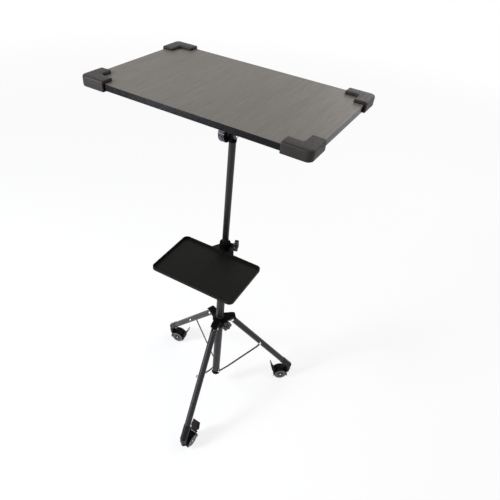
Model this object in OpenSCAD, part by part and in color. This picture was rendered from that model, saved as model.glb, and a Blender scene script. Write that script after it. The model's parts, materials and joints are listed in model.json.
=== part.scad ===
// A rolling tripod stand with a large tray on a telescopic mast and a small shelf below it.
// Millimetres, +Z up, origin on the floor under the middle of the whole stand.

/* [Stand] */
// Distance of the mast from the middle of the footprint, along X
mast_x = 11; // [0:1:60]
// Distance of the mast from the middle of the footprint, along Y
mast_y = 47.5; // [0:0.1:90]
// Turn of the front leg about the mast, from +X
front_leg_turn = -78.5; // [-90:0.5:-60]

/* [Tray] */
// Height of the tray's top above the floor
tray_height = 1212; // [1150:1:1300]
// Length of the tray along X
tray_l = 595; // [500:1:700]
// Width of the tray along Y
tray_w = 372; // [300:1:450]
// Thickness of the tray board
tray_t = 15; // [12:0.5:19]
// Thickness of the edging strip round the board
edging_t = 1; // [0.5:0.1:2]
// Offset of the tray's middle from the mast along X
tray_dx = -11; // [-30:1:30]
// Offset of the tray's middle from the mast along Y
tray_dy = -8; // [-30:1:30]

/* [Corner guards] */
// Length of each arm of a guard, measured outside
guard_arm = 70; // [50:1:90]
// Width of the flap that lies on the tray, from the outer face
guard_flap = 34; // [24:1:40]
// Thickness of the foam beside the tray
guard_side_t = 6; // [4:0.5:9]
// Thickness of the foam on top of the tray
guard_top_t = 8; // [5:0.5:12]
// Thickness of the foam lip under the tray
guard_lip_t = 4; // [3:0.5:8]
// Radius of the guard's outer corner
guard_corner_r = 14; // [8:1:20]

/* [Tilt head] */
// Height of the tilt axis below the tray's underside
tilt_drop = 105; // [90:1:130]
// Diameter of the tilt bolt
tilt_bolt_d = 8; // [6:1:10]
// Diameter of the tilt lock knob
tilt_knob_d = 56; // [40:1:60]
// Thickness of the tilt lock knob
tilt_knob_t = 18; // [12:1:24]
// Thickness of the ear on the pole head
ear_t = 12; // [10:1:16]
// Thickness of the yoke's cheeks and plate
yoke_t = 3; // [2:0.5:4]
// Length of the yoke's plate along X
plate_l = 84; // [70:1:120]
// Width of the yoke's plate along Y
plate_w = 66; // [60:1:100]

/* [Mast] */
// Diameter of the upper pole
pole_d = 20; // [18:0.5:22]
// Wall of the upper pole
pole_wall = 1.2; // [1:0.1:1.6]
// How far the upper pole reaches into the lower tube
pole_in = 259.5; // [120:0.5:320]
// Diameter of the lower tube
tube_d = 28; // [26:0.5:32]
// Wall of the lower tube
tube_wall = 1.5; // [1:0.1:1.8]
// Height of the lower tube's top above the floor
tube_top = 730; // [700:1:760]
// Height of the lower tube's foot above the floor
tube_foot = 78; // [70:1:90]

/* [Shelf] */
// Height of the shelf's rim above the floor
shelf_height = 706; // [640:1:709]
// Length of the shelf along X
shelf_l = 273; // [220:1:320]
// Width of the shelf along Y
shelf_w = 182; // [150:1:220]
// Height of the shelf's rim over its underside
shelf_rim = 9; // [8:0.5:14]
// Thickness of the shelf's floor
shelf_floor_t = 2.5; // [2:0.1:4]
// Thickness of the shelf's rim
shelf_rim_t = 3; // [2:0.1:4]
// Corner radius of the shelf
shelf_corner_r = 15; // [8:1:25]
// Distance of the shelf's back edge in front of the mast
shelf_gap = 12.5; // [10:0.5:16]
// Turn of the shelf about the mast
shelf_yaw = 1.8; // [-5:0.1:5]

/* [Tripod] */
// Height of the leg pivots above the floor
hub_height = 380.6; // [360:0.1:395]
// Distance of the leg pivots from the mast
hub_reach = 44.8; // [42:0.1:48]
// Diameter of a leg tube
leg_d = 22; // [20:0.5:24]
// Wall of a leg tube
leg_wall = 1.2; // [1:0.1:1.6]
// Distance of the casters' stems from the mast
foot_reach = 300; // [280:1:320]
// Height at which a leg's axis meets its caster's stem
foot_height = 68; // [64:0.5:74]
// Share of the leg's length from its pivot to its brace
brace_share = 0.45; // [0.4:0.01:0.5]
// Width of a brace
brace_w = 8; // [6:0.5:10]
// Thickness of a brace
brace_t = 2; // [1.5:0.1:3]

/* [Casters] */
// Diameter of the wheels
wheel_d = 48; // [44:1:50]
// Width of one wheel
wheel_w = 13; // [10:0.5:15]
// Distance of the wheels' axle behind the stem
caster_trail = 30; // [29:0.5:34]
// Width of the web between the two wheels
web_t = 8; // [7:0.5:10]
// Diameter of the stem
stem_d = 10; // [8:0.5:11]
// Thickness of the hood over the wheels
hood_t = 2.8; // [2:0.1:4]

/* [Star knobs] */
// Diameter of a star knob over its lobes
star_d = 36; // [30:1:40]
// Thickness of a star knob's head
star_t = 13; // [10:0.5:16]
// Diameter of a star knob's screw
star_screw_d = 6; // [5:0.5:8]

/* [Hidden] */

// Facets of large and of small rounds
$fn = 64;
small_fn = 32;

// Clearance round a turning or sliding part
running = 0.05;
// Clearance between pieces that are fixed together
seat = 0.02;
// Gap between faces that pass each other
face_gap = 0.2;
// How far a cut runs past the solid that it cuts
over = 1;

// Leg numbers: 0 front, 1 right, 2 left
legs = [0, 1, 2];
leg_step = 120;
// Turn of each caster about its stem, from pointing at the mast
caster_turns = [-14, -5, 27];

pole_r = pole_d / 2;
pole_bore_r = pole_r - pole_wall;
tube_r = tube_d / 2;
tube_bore_r = tube_r - tube_wall;
leg_r = leg_d / 2;
leg_bore_r = leg_r - leg_wall;

// Heights along the mast
tray_under = tray_height - tray_t;
tilt_z = tray_under - tilt_drop;
ear_r = 12;
head_collar_r = 11.2;
head_collar_t = 6;
head_neck = 3.5;
head_spigot_l = 30;
yoke_r = 13;
pole_top = tilt_z - ear_r - head_neck - head_collar_t;
pole_foot = tube_top - pole_in;
pole_l = pole_top - pole_foot;
plug_l = 18;
plug_spigot_l = 30;

// Mast collar: a sleeve on top of the lower tube
collar_r = 17;
collar_drop = 18;
collar_rise = 6;
collar_taper = 4;
collar_top_r = 13.5;
collar_screw_drop = 5.5;
collar_turn = 18;
boss_r = 7;
boss_reach = 24;
bush_drop = 30;
hole_extra_r = 0.5;

// Hub: a moulding that slides on the lower tube
liner_wall = 1.5;
hub_r = 20;
hub_drop = 25;
hub_rise = 16;
hub_neck_r = 17.5;
hub_neck_t = 5;
lug_w = 25;
lug_r = 18.8;
lug_overhang = 12;
lug_cut_r = 15.4;
lug_web_w = 16;
lug_web_reach = 27;
tongue_w = 11;
tongue_r = 9;
hub_knob_turn = leg_step / 2;
hub_boss_reach = 34;
hub_screw_rise = 6;

// Leg: distances along its own axis from its pivot
leg_over = 10;
slot_l = 12;
slot_room = 1;
slot_w = tongue_w + slot_room;
leg_tilt = atan((foot_reach - hub_reach) / (hub_height - foot_height));
leg_axis_l = sqrt(pow(foot_reach - hub_reach, 2) + pow(hub_height - foot_height, 2));
leg_short = 14;
leg_tube_l = leg_axis_l - leg_short;
brace_at = brace_share * leg_axis_l;
leg_rivet_r = 3;
leg_rivet_head_r = 5;
rivet_head_t = 1.7;

// Boot: the moulding at the foot of a leg, which holds the caster's stem
boot_r = 12.4;
knuckle_r = 13;
boot_l = 48;
boot_socket_r = 11.5;
boot_foot = 43;
stem_flange_r = 9;
stem_flange_t = 1;
stem_seat_l = 22;
stem_low_l = 9;

// Braces: side offsets from a leg's own plane, towards its clockwise side
brace_side = tube_r + face_gap;
brace_foot_reach = 8.2;
brace_foot_rise = 14.7;
brace_eye_r = 5;
brace_rivet_r = 2.5;
spacer_r = 4;
foot_ring_r = 15.6;
foot_ring_h = 8;
foot_floor = 4;
foot_plug_h = 24;
foot_plug_bore_r = 6;
foot_rivet_in = 9;
foot_head_r = 3.8;
foot_head_t = 1.3;
brace_cap_r = 4.2;
brace_cap_t = 1.8;

// Casters: x behind the stem, y along the axle, z above the floor
wheel_r = wheel_d / 2;
wheel_gap = 0.5;
wheel_edge_r = 2.5;
wheel_cap = 2;
wheel_dish = 1.2;
axle_r = 3;
hood_gap = 1.3;
hood_over = 1;
hood_low = 16;
hood_boss_r = 9;
hood_boss_l = 14;
boot_room = 0.8;
pedal_turn = 35;
pedal_out = 4.6;
pedal_hub_r = 3.6;
pedal_tip_r = 1.6;
pedal_mid_r = 2.6;
pedal_w = 34;
pedal_root_w = 22;
pedal_rise = 37;
pedal_run = 17;
pedal_pin_r = 2;
pedal_ear_t = 3;
pedal_ear_r = 4.4;
pedal_arm_r = 3.4;
pedal_arm_in = 2.6;
pedal_arm_t = 2.2;

// Star knobs
star_lobes = 6;
star_lobe_r = 5.5;
star_core_r = 12;
star_hub_r = 6.5;
star_hub_l = 4;
star_head_lift = 3;

// Shelf details
shelf_ring_r = 19.5;
shelf_bulge_w = 78;
shelf_bulge_end_w = 40;
shelf_bulge_y = 21;
groove_w = 1.6;
groove_d = 0.6;
notch_w = 6;
notch_d = 2.5;
clamp_r = 21;
clamp_h = 14;
clamp_split = 2;
clamp_ear_w = 9;
clamp_ear_reach = 31;
clamp_screw_d = 5;
clamp_head_r = 4.5;
clamp_head_t = 4;
clamp_screw_y = 26;
liner_rise = 7;

// Tray fastening
screw_r = 2;
screw_l = 11;
screw_head_r = 4;
screw_head_t = 2.2;
screw_inset = 9;
washer_t = 1;
washer_r = 11;
bolt_head_d = 15;
bolt_head_t = 5.5;
knob_depth = 12;
knob_stand = 1.5;

// A point on a leg's axis, in the leg's own plane: reach and height
function leg_point(s) = [hub_reach + s * sin(leg_tilt), hub_height - s * cos(leg_tilt)];

// Places its children about the mast's axis
module on_mast() {
    translate([mast_x, mast_y, 0]) children();
}

// Turns its children to a leg: x outwards, y anticlockwise, z up
module at_leg(i) {
    on_mast() rotate([0, 0, front_leg_turn + i * leg_step]) children();
}

// Places its children at a leg's pivot with z down along the leg
module along_leg(i) {
    at_leg(i) translate([hub_reach, 0, hub_height]) rotate([0, 180 - leg_tilt, 0]) children();
}

// Places its children at a caster's stem on the floor: x along the trail, z up
module at_caster(i) {
    at_leg(i) translate([foot_reach, 0, 0]) rotate([0, 0, 180 + caster_turns[i]]) children();
}

// A cylinder along y from y0 to y1
module along_y(r, y0, y1) {
    translate([0, y1, 0]) rotate([90, 0, 0]) cylinder(r = r, h = y1 - y0);
}

// A cylinder along x from x0 to x1
module along_x(r, x0, x1) {
    translate([x0, 0, 0]) rotate([0, 90, 0]) cylinder(r = r, h = x1 - x0);
}

// A box from one corner to the opposite one
module block(a, b) {
    translate(a) cube(b - a);
}

// A domed rivet head that stands on z = 0
module rivet_head(r, h) {
    rotate_extrude() intersection() {
        translate([0, h - (r * r + h * h) / (2 * h)]) circle(r = (r * r + h * h) / (2 * h));
        square([r, h]);
    }
}

module lower_tube() {
    color("#26252b") on_mast() difference() {
        translate([0, 0, tube_foot]) cylinder(r = tube_r, h = tube_top - tube_foot);
        translate([0, 0, tube_foot - over]) cylinder(r = tube_bore_r, h = tube_top - tube_foot + 2 * over);
        rotate([0, 0, collar_turn]) translate([0, 0, tube_top - collar_screw_drop])
            along_x(star_screw_d / 2 + hole_extra_r, 0, tube_r + over);
        foot_rivet_bores();
    }
}

// The holes for the rivets at the braces' feet
module foot_rivet_bores() {
    for (i = legs) rotate([0, 0, front_leg_turn + i * leg_step])
        translate([brace_foot_reach, 0, tube_foot + brace_foot_rise])
            along_y(brace_rivet_r + seat, -tube_r - over, -foot_rivet_in + over);
}

module foot_plug() {
    color("#151515") on_mast() difference() {
        union() {
            translate([0, 0, tube_foot - foot_floor]) cylinder(r = foot_ring_r, h = foot_ring_h + foot_floor);
            translate([0, 0, tube_foot]) cylinder(r = tube_bore_r - seat, h = foot_plug_h);
        }
        difference() {
            translate([0, 0, tube_foot]) cylinder(r = tube_r + seat, h = foot_ring_h + over);
            translate([0, 0, tube_foot - over]) cylinder(r = tube_bore_r - seat, h = foot_plug_h);
        }
        translate([0, 0, tube_foot]) cylinder(r = foot_plug_bore_r, h = foot_plug_h + over);
        foot_rivet_bores();
    }
}

module foot_rivets() {
    outer = brace_side + brace_t + face_gap;
    color("#c9c9cc") for (i = legs)
        at_leg(i) translate([brace_foot_reach, 0, tube_foot + brace_foot_rise]) {
            along_y(brace_rivet_r, -outer, -foot_rivet_in);
            translate([0, -outer, 0]) rotate([90, 0, 0]) rivet_head(foot_head_r, foot_head_t);
        }
}

module mast_collar() {
    color("#1a1a1c") on_mast() difference() {
        union() {
            translate([0, 0, tube_top - collar_drop])
                cylinder(r = collar_r, h = collar_drop + collar_rise - collar_taper);
            translate([0, 0, tube_top + collar_rise - collar_taper])
                cylinder(r1 = collar_r, r2 = collar_top_r, h = collar_taper);
            rotate([0, 0, collar_turn]) translate([0, 0, tube_top - collar_screw_drop])
                along_x(boss_r, tube_r + over, boss_reach);
        }
        translate([0, 0, tube_top - collar_drop - over]) cylinder(r = tube_r + seat, h = collar_drop + over);
        translate([0, 0, tube_top - over]) cylinder(r = pole_r + face_gap, h = collar_rise + 2 * over);
        rotate([0, 0, collar_turn]) translate([0, 0, tube_top - collar_screw_drop])
            along_x(star_screw_d / 2 + running, 0, boss_reach + over);
    }
}

module collar_bush() {
    color("#3a3a3c") on_mast() difference() {
        translate([0, 0, tube_top - bush_drop]) cylinder(r = tube_bore_r - seat, h = bush_drop);
        translate([0, 0, tube_top - bush_drop - over]) cylinder(r = pole_r + running, h = bush_drop + 2 * over);
        rotate([0, 0, collar_turn]) translate([0, 0, tube_top - collar_screw_drop])
            along_x(star_screw_d / 2 + hole_extra_r, 0, tube_r + over);
    }
}

module shelf_liner() {
    low = shelf_height - shelf_rim - face_gap - clamp_h;
    high = shelf_height - shelf_rim + liner_rise;
    color("#3a3a3c") on_mast() difference() {
        translate([0, 0, low]) cylinder(r = tube_r + liner_wall, h = high - low);
        translate([0, 0, low - over]) cylinder(r = tube_r + running, h = high - low + 2 * over);
    }
}

module shelf_clamp() {
    low = shelf_height - shelf_rim - face_gap - clamp_h;
    bore_r = tube_r + liner_wall + seat;
    color("#171719") on_mast() rotate([0, 0, shelf_yaw]) difference() {
        union() {
            translate([0, 0, low]) cylinder(r = clamp_r, h = clamp_h);
            block([-clamp_ear_w, 0, low], [clamp_ear_w, clamp_ear_reach, low + clamp_h]);
        }
        translate([0, 0, low - over]) cylinder(r = bore_r, h = clamp_h + 2 * over);
        block([-clamp_split / 2, 0, low - over], [clamp_split / 2, clamp_ear_reach + over, low + clamp_h + over]);
        translate([0, clamp_screw_y, low + clamp_h / 2])
            along_x(clamp_screw_d / 2 + seat, -clamp_ear_w - over, clamp_ear_w + over);
    }
}

module clamp_screw() {
    low = shelf_height - shelf_rim - face_gap - clamp_h;
    color("#b8b8bb") on_mast() rotate([0, 0, shelf_yaw]) translate([0, clamp_screw_y, low + clamp_h / 2]) {
        along_x(clamp_screw_d / 2, -clamp_ear_w, clamp_ear_w);
        difference() {
            along_x(clamp_head_r, clamp_ear_w, clamp_ear_w + clamp_head_t);
            translate([clamp_ear_w + clamp_head_t / 2, 0, 0]) rotate([0, 90, 0])
                cylinder(r = clamp_head_r / 2, h = clamp_head_t, $fn = 6);
        }
        translate([-clamp_ear_w - clamp_head_t, 0, 0]) rotate([0, 90, 0])
            cylinder(r = clamp_head_r, h = clamp_head_t, $fn = 6);
    }
}

// The outline of the shelf, drawn in by an inset on all sides
module shelf_outline(inset) {
    r = shelf_corner_r - inset;
    x = shelf_l / 2 - shelf_corner_r;
    y0 = -shelf_gap - shelf_w + shelf_corner_r;
    y1 = -shelf_gap - shelf_corner_r;
    for (cx = [-x, x], cy = [y0, y1]) translate([cx, cy]) circle(r = r);
    translate([-x, y0 - r]) square([2 * x, y1 - y0 + 2 * r]);
    translate([-x - r, y0]) square([2 * (x + r), y1 - y0]);
}

// The outline of the bulge at the back of the shelf, which goes round the mast
module bulge_outline() {
    polygon([
        [-shelf_bulge_w / 2, -shelf_gap - shelf_rim_t / 2], [-shelf_bulge_w / 2, -shelf_gap],
        [-shelf_bulge_end_w / 2, shelf_bulge_y], [shelf_bulge_end_w / 2, shelf_bulge_y],
        [shelf_bulge_w / 2, -shelf_gap], [shelf_bulge_w / 2, -shelf_gap - shelf_rim_t / 2]
    ]);
}

module shelf_tray() {
    under = shelf_height - shelf_rim;
    front = -shelf_gap - shelf_w;
    color("#1b1c18") on_mast() rotate([0, 0, shelf_yaw]) difference() {
        union() {
            translate([0, 0, under]) linear_extrude(shelf_rim) shelf_outline(0);
            translate([0, 0, under]) linear_extrude(shelf_rim) bulge_outline();
            translate([0, 0, under]) cylinder(r = shelf_ring_r, h = shelf_rim);
        }
        difference() {
            translate([0, 0, under + shelf_floor_t]) linear_extrude(shelf_rim)
                shelf_outline(shelf_rim_t);
            translate([0, 0, under]) cylinder(r = shelf_ring_r, h = shelf_rim + over);
        }
        translate([0, 0, under - over]) cylinder(r = tube_r + liner_wall + running, h = shelf_rim + 2 * over);
        block([-groove_w / 2, front + 2 * shelf_rim_t, under + shelf_floor_t - groove_d],
              [groove_w / 2, -shelf_ring_r - shelf_rim_t, under + shelf_rim]);
        block([-notch_w / 2, front - over, under + shelf_rim - notch_d],
              [notch_w / 2, front + shelf_rim_t + over, under + shelf_rim + over]);
    }
}

// One lug of the hub, at the leg's pivot: an arch over the leg's end with a tongue inside it
module hub_lug() {
    difference() {
        union() {
            intersection() {
                along_y(lug_r, -lug_w / 2, lug_w / 2);
                block([-lug_r, -lug_w, 0], [lug_overhang, lug_w, lug_r + over]);
            }
            block([tube_r - hub_reach, -lug_w / 2, -hub_drop], [-lug_cut_r, lug_w / 2, lug_r]);
            block([-lug_cut_r, -lug_w / 2, 0], [0, lug_w / 2, lug_r]);
        }
        along_y(lug_cut_r, -lug_w, lug_w);
        for (side = [-1, 1]) translate([0, side * (lug_web_w + lug_w) / 2, 0])
            block([-hub_reach, -lug_w / 2, -hub_drop - over], [lug_web_reach - hub_reach + lug_r, lug_w / 2, 0]);
    }
    along_y(tongue_r, -tongue_w / 2, tongue_w / 2);
    block([tube_r - hub_reach, -tongue_w / 2, -tongue_r], [0, tongue_w / 2, tongue_r]);
}

module hub() {
    bore_r = tube_r + liner_wall + seat;
    color("#141415") on_mast() difference() {
        union() {
            translate([0, 0, hub_height - hub_drop]) cylinder(r = hub_r, h = hub_drop + hub_rise);
            translate([0, 0, hub_height + hub_rise]) cylinder(r = hub_neck_r, h = hub_neck_t);
            for (i = legs) rotate([0, 0, front_leg_turn + i * leg_step])
                translate([hub_reach, 0, hub_height]) hub_lug();
            rotate([0, 0, front_leg_turn + hub_knob_turn]) translate([0, 0, hub_height + hub_screw_rise])
                along_x(boss_r, tube_r + over, hub_boss_reach);
        }
        translate([0, 0, hub_height - hub_drop - over])
            cylinder(r = bore_r, h = hub_drop + hub_rise + hub_neck_t + 2 * over);
        for (i = legs) rotate([0, 0, front_leg_turn + i * leg_step])
            translate([hub_reach, 0, hub_height]) along_y(leg_rivet_r + seat, -lug_w, lug_w);
        rotate([0, 0, front_leg_turn + hub_knob_turn]) translate([0, 0, hub_height + hub_screw_rise])
            along_x(star_screw_d / 2 + running, 0, hub_boss_reach + over);
    }
}

module hub_bush() {
    h = hub_drop + hub_rise + hub_neck_t;
    color("#3a3a3c") on_mast() difference() {
        translate([0, 0, hub_height - hub_drop]) cylinder(r = tube_r + liner_wall, h = h);
        translate([0, 0, hub_height - hub_drop - over]) cylinder(r = tube_r + running, h = h + 2 * over);
        rotate([0, 0, front_leg_turn + hub_knob_turn]) translate([0, 0, hub_height + hub_screw_rise])
            along_x(star_screw_d / 2 + running, 0, hub_boss_reach);
    }
}

module leg_pivot_rivets() {
    side = leg_r + face_gap;
    color("#d8d8da") for (i = legs) at_leg(i) translate([hub_reach, 0, hub_height]) {
        along_y(leg_rivet_r, -side, side);
        translate([0, side, 0]) rotate([-90, 0, 0]) rivet_head(leg_rivet_head_r, rivet_head_t);
        translate([0, -side, 0]) rotate([90, 0, 0]) rivet_head(leg_rivet_head_r, rivet_head_t);
    }
}

module leg_tube(i) {
    color("#2b2729") along_leg(i) difference() {
        translate([0, 0, -leg_over]) cylinder(r = leg_r, h = leg_over + leg_tube_l);
        translate([0, 0, -leg_over - over]) cylinder(r = leg_bore_r, h = leg_over + leg_tube_l + 2 * over);
        block([-leg_r - over, -slot_w / 2, -leg_over - over], [leg_r + over, slot_w / 2, slot_l]);
        along_y(leg_rivet_r + running, -leg_r - over, leg_r + over);
        translate([0, 0, brace_at]) along_y(brace_rivet_r + seat, -leg_r - over, leg_r + over);
    }
}

module leg_boot(i) {
    foot = leg_point(leg_axis_l);
    color("#1d1e1e") difference() {
        union() {
            along_leg(i) translate([0, 0, leg_axis_l - boot_l]) cylinder(r = boot_r, h = boot_l);
            at_leg(i) translate([foot[0], 0, foot[1]]) sphere(r = knuckle_r);
            at_leg(i) translate([foot[0], 0, boot_foot]) cylinder(r = boot_socket_r, h = foot[1] - boot_foot);
        }
        along_leg(i) translate([0, 0, leg_axis_l - boot_l - over])
            cylinder(r = leg_r + seat, h = leg_tube_l - leg_axis_l + boot_l + over);
        at_leg(i) translate([foot[0], 0, boot_foot - over])
            cylinder(r = stem_d / 2 + seat, h = stem_seat_l + over);
    }
}

module brace_rivet(i) {
    side = leg_r + seat;
    inner = brace_side - face_gap;
    color("#d8d8da") along_leg(i) translate([0, 0, brace_at]) {
        along_y(brace_rivet_r, -inner, side);
        along_y(spacer_r, -inner, -side);
        translate([0, side, 0]) rotate([-90, 0, 0]) rivet_head(spacer_r, rivet_head_t);
    }
}

module brace(i) {
    top = leg_point(brace_at);
    foot_z = tube_foot + brace_foot_rise;
    run = top[0] - brace_foot_reach;
    rise = top[1] - foot_z;
    l = sqrt(run * run + rise * rise);
    near = -brace_side;
    far = -brace_side - brace_t;
    color("#4a4140") at_leg(i) translate([brace_foot_reach, 0, foot_z])
        rotate([0, -atan(rise / run), 0]) difference() {
            union() {
                block([0, far, -brace_w / 2], [l, near, brace_w / 2]);
                along_y(brace_eye_r, far, near);
                translate([l, 0, 0]) along_y(brace_eye_r, far, near);
                translate([l, far, 0]) rotate([90, 0, 0]) rivet_head(brace_cap_r, brace_cap_t);
            }
            along_y(brace_rivet_r + running, far - over, near + over);
        }
}

module caster_stem(i) {
    color("#b9babd") at_caster(i) {
        translate([0, 0, boot_foot - stem_flange_t - stem_low_l])
            cylinder(r = stem_d / 2, h = stem_low_l + stem_flange_t + stem_seat_l - seat);
        translate([0, 0, boot_foot - stem_flange_t]) cylinder(r = stem_flange_r, h = stem_flange_t);
    }
}

// Places its children at the wheels' axle
module at_axle() {
    translate([caster_trail, 0, wheel_r]) children();
}

// Places its children at the brake pedal's pivot, just outside the hood
module at_pedal() {
    reach = wheel_r + hood_gap + hood_t + pedal_out;
    at_axle() translate([reach * cos(pedal_turn), 0, reach * sin(pedal_turn)]) children();
}

module caster_hood(i) {
    half_w = web_t / 2 + wheel_gap + wheel_w + hood_over;
    room_r = wheel_r + hood_gap;
    out_r = room_r + hood_t;
    boss_top = boot_foot - stem_flange_t - face_gap;
    ear_in = pedal_root_w / 2 + wheel_gap / 2;
    color("#101114") at_caster(i) difference() {
        union() {
            at_axle() intersection() {
                along_y(out_r, -half_w, half_w);
                block([-out_r - over, -half_w - over, -hood_low / 2], [out_r + over, half_w + over, out_r + over]);
            }
            at_axle() along_y(room_r - hood_gap - hood_t, -web_t / 2, web_t / 2);
            translate([0, 0, boss_top - hood_boss_l]) cylinder(r = hood_boss_r, h = hood_boss_l);
            for (side = [-1, 1]) at_pedal() {
                translate([0, side * (ear_in + pedal_ear_t / 2), 0])
                    along_y(pedal_ear_r, -pedal_ear_t / 2, pedal_ear_t / 2);
                rotate([0, 90 - pedal_turn, 0]) translate([0, side * (ear_in + pedal_ear_t / 2), 0])
                    block([-pedal_arm_r, -pedal_arm_t / 2, -pedal_out - hood_t / 2],
                          [pedal_arm_r, pedal_arm_t / 2, -pedal_arm_in]);
            }
        }
        for (side = [-1, 1]) at_axle() translate([0, side * (web_t / 2 + half_w / 2 + over / 2), 0])
            along_y(room_r, -half_w / 2 - over / 2, half_w / 2 + over / 2);
        at_axle() along_y(axle_r + seat, -web_t, web_t);
        translate([0, 0, boot_foot - stem_flange_t - stem_low_l - face_gap])
            cylinder(r = stem_d / 2 + running, h = stem_low_l + over + hood_boss_l);
        translate([0, 0, boss_top]) cylinder(r = boot_socket_r + boot_room, h = out_r);
        at_pedal() along_y(pedal_pin_r + running, -half_w - over, half_w + over);
    }
}

module caster_axle(i) {
    half = web_t / 2 + wheel_gap + wheel_w - wheel_cap - face_gap;
    color("#b9babd") at_caster(i) at_axle() along_y(axle_r, -half, half);
}

// One wheel from its inner face at y = 0 to its closed outer face
module wheel_body() {
    r = wheel_r - wheel_edge_r;
    rotate([-90, 0, 0]) rotate_extrude() difference() {
        union() {
            square([r, wheel_w]);
            translate([r, wheel_edge_r]) circle(r = wheel_edge_r, $fn = small_fn);
            translate([r, wheel_w - wheel_edge_r]) circle(r = wheel_edge_r, $fn = small_fn);
            translate([0, wheel_edge_r]) square([wheel_r, wheel_w - 2 * wheel_edge_r]);
        }
        translate([0, -over]) square([axle_r + running, wheel_w - wheel_cap + over]);
        translate([wheel_r / 3, wheel_w - wheel_dish]) square([wheel_r / 2, wheel_dish + over]);
    }
}

module wheel(i, side) {
    color("#2d2d31") at_caster(i) at_axle() rotate([0, 0, side < 0 ? 180 : 0])
        translate([0, web_t / 2 + wheel_gap, 0]) wheel_body();
}

module brake_pedal(i) {
    half_root = pedal_root_w / 2;
    half_tip = pedal_w / 2;
    slope = atan2(pedal_rise / 3, pedal_run / 2);
    clear = pedal_ear_r + pedal_mid_r + face_gap;
    ear_out = half_root + wheel_gap / 2 + pedal_ear_t;
    color("#3b3331") at_caster(i) at_pedal() {
        along_y(pedal_hub_r, -half_root, half_root);
        along_y(pedal_pin_r, -ear_out, ear_out);
        hull() {
            along_y(pedal_mid_r, -half_root, half_root, $fn = small_fn);
            translate([clear * cos(slope), 0, clear * sin(slope)])
                along_y(pedal_mid_r, -half_root, half_root, $fn = small_fn);
        }
        hull() {
            translate([clear * cos(slope), 0, clear * sin(slope)])
                along_y(pedal_mid_r, -half_root, half_root, $fn = small_fn);
            translate([pedal_run / 2, 0, pedal_rise / 3])
                along_y(pedal_mid_r, -half_tip, half_tip, $fn = small_fn);
        }
        hull() {
            translate([pedal_run / 2, 0, pedal_rise / 3])
                along_y(pedal_mid_r, -half_tip, half_tip, $fn = small_fn);
            translate([pedal_run, 0, pedal_rise])
                along_y(pedal_tip_r, -half_tip + pedal_mid_r, half_tip - pedal_mid_r, $fn = small_fn);
        }
    }
}

module guide_plug() {
    color("#3a3a3c") on_mast() translate([0, 0, pole_foot]) {
        translate([0, 0, -plug_l]) cylinder(r = tube_bore_r - running, h = plug_l - face_gap);
        translate([0, 0, -face_gap]) cylinder(r = pole_bore_r - running, h = plug_spigot_l);
    }
}

module upper_pole() {
    color("#26252b") on_mast() difference() {
        translate([0, 0, pole_foot]) cylinder(r = pole_r, h = pole_l);
        translate([0, 0, pole_foot - over]) cylinder(r = pole_bore_r, h = pole_l + 2 * over);
    }
}

module pole_head() {
    color("#1a1a1c") on_mast() difference() {
        union() {
            translate([0, 0, pole_top - head_spigot_l]) cylinder(r = pole_bore_r - seat, h = head_spigot_l);
            translate([0, 0, pole_top]) cylinder(r = head_collar_r, h = head_collar_t);
            block([-ear_t / 2, -ear_r, pole_top + head_collar_t / 2], [ear_t / 2, ear_r, tilt_z]);
            translate([0, 0, tilt_z]) along_x(ear_r, -ear_t / 2, ear_t / 2);
        }
        translate([0, 0, tilt_z]) along_x(tilt_bolt_d / 2 + running, -ear_t / 2 - over, ear_t / 2 + over);
    }
}

// Distance of a cheek's inner face from the middle of the head
cheek_in = ear_t / 2 + face_gap / 2 + washer_t;

module tilt_yoke() {
    plate_low = tray_under - yoke_t;
    color("#1f1f22") on_mast() difference() {
        union() {
            for (side = [-1, 1]) translate([side * (cheek_in + yoke_t / 2), 0, tilt_z]) {
                along_x(yoke_r, -yoke_t / 2, yoke_t / 2);
                rotate([90, 0, 90]) translate([0, 0, -yoke_t / 2]) linear_extrude(yoke_t) polygon([
                    [-yoke_r, 0], [yoke_r, 0],
                    [plate_w / 2, tilt_drop - yoke_t], [-plate_w / 2, tilt_drop - yoke_t]
                ]);
            }
            block([-plate_l / 2, -plate_w / 2, plate_low], [plate_l / 2, plate_w / 2, tray_under]);
        }
        translate([0, 0, tilt_z])
            along_x(tilt_bolt_d / 2 + seat, -cheek_in - yoke_t - over, cheek_in + yoke_t + over);
        for (sx = [-1, 1], sy = [-1, 1])
            translate([sx * (plate_l / 2 - screw_inset), sy * (plate_w / 2 - screw_inset), plate_low - over])
                cylinder(r = screw_r + seat, h = yoke_t + 2 * over);
    }
}

module tilt_washers() {
    color("#606063") on_mast() translate([0, 0, tilt_z]) for (side = [-1, 1])
        translate([side * (cheek_in - washer_t / 2), 0, 0]) difference() {
            along_x(washer_r, -washer_t / 2, washer_t / 2);
            along_x(tilt_bolt_d / 2 + seat, -washer_t, washer_t);
        }
}

module tilt_bolt() {
    out = cheek_in + yoke_t;
    color("#b8b8bb") on_mast() translate([0, 0, tilt_z]) {
        along_x(tilt_bolt_d / 2, -out - knob_stand - knob_depth + over, out);
        translate([out, 0, 0]) rotate([0, 90, 0]) cylinder(r = bolt_head_d / 2, h = bolt_head_t, $fn = 6);
    }
}

module tilt_knob() {
    near = cheek_in + yoke_t + face_gap;
    far = near + knob_stand + tilt_knob_t;
    rib_r = 1.5;
    ribs = 24;
    color("#2a292e") on_mast() translate([0, 0, tilt_z]) difference() {
        union() {
            along_x(washer_r, -near - knob_stand - over, -near);
            along_x(tilt_knob_d / 2 - rib_r, -far, -near - knob_stand);
            for (k = [0 : ribs - 1]) rotate([k * 360 / ribs, 0, 0])
                translate([0, tilt_knob_d / 2 - rib_r, 0]) rotate([0, -90, 0]) translate([0, 0, near + knob_stand])
                    cylinder(r = rib_r, h = tilt_knob_t, $fn = small_fn);
        }
        along_x(tilt_bolt_d / 2 + running, -near - knob_stand - knob_depth, over);
    }
}

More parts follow.
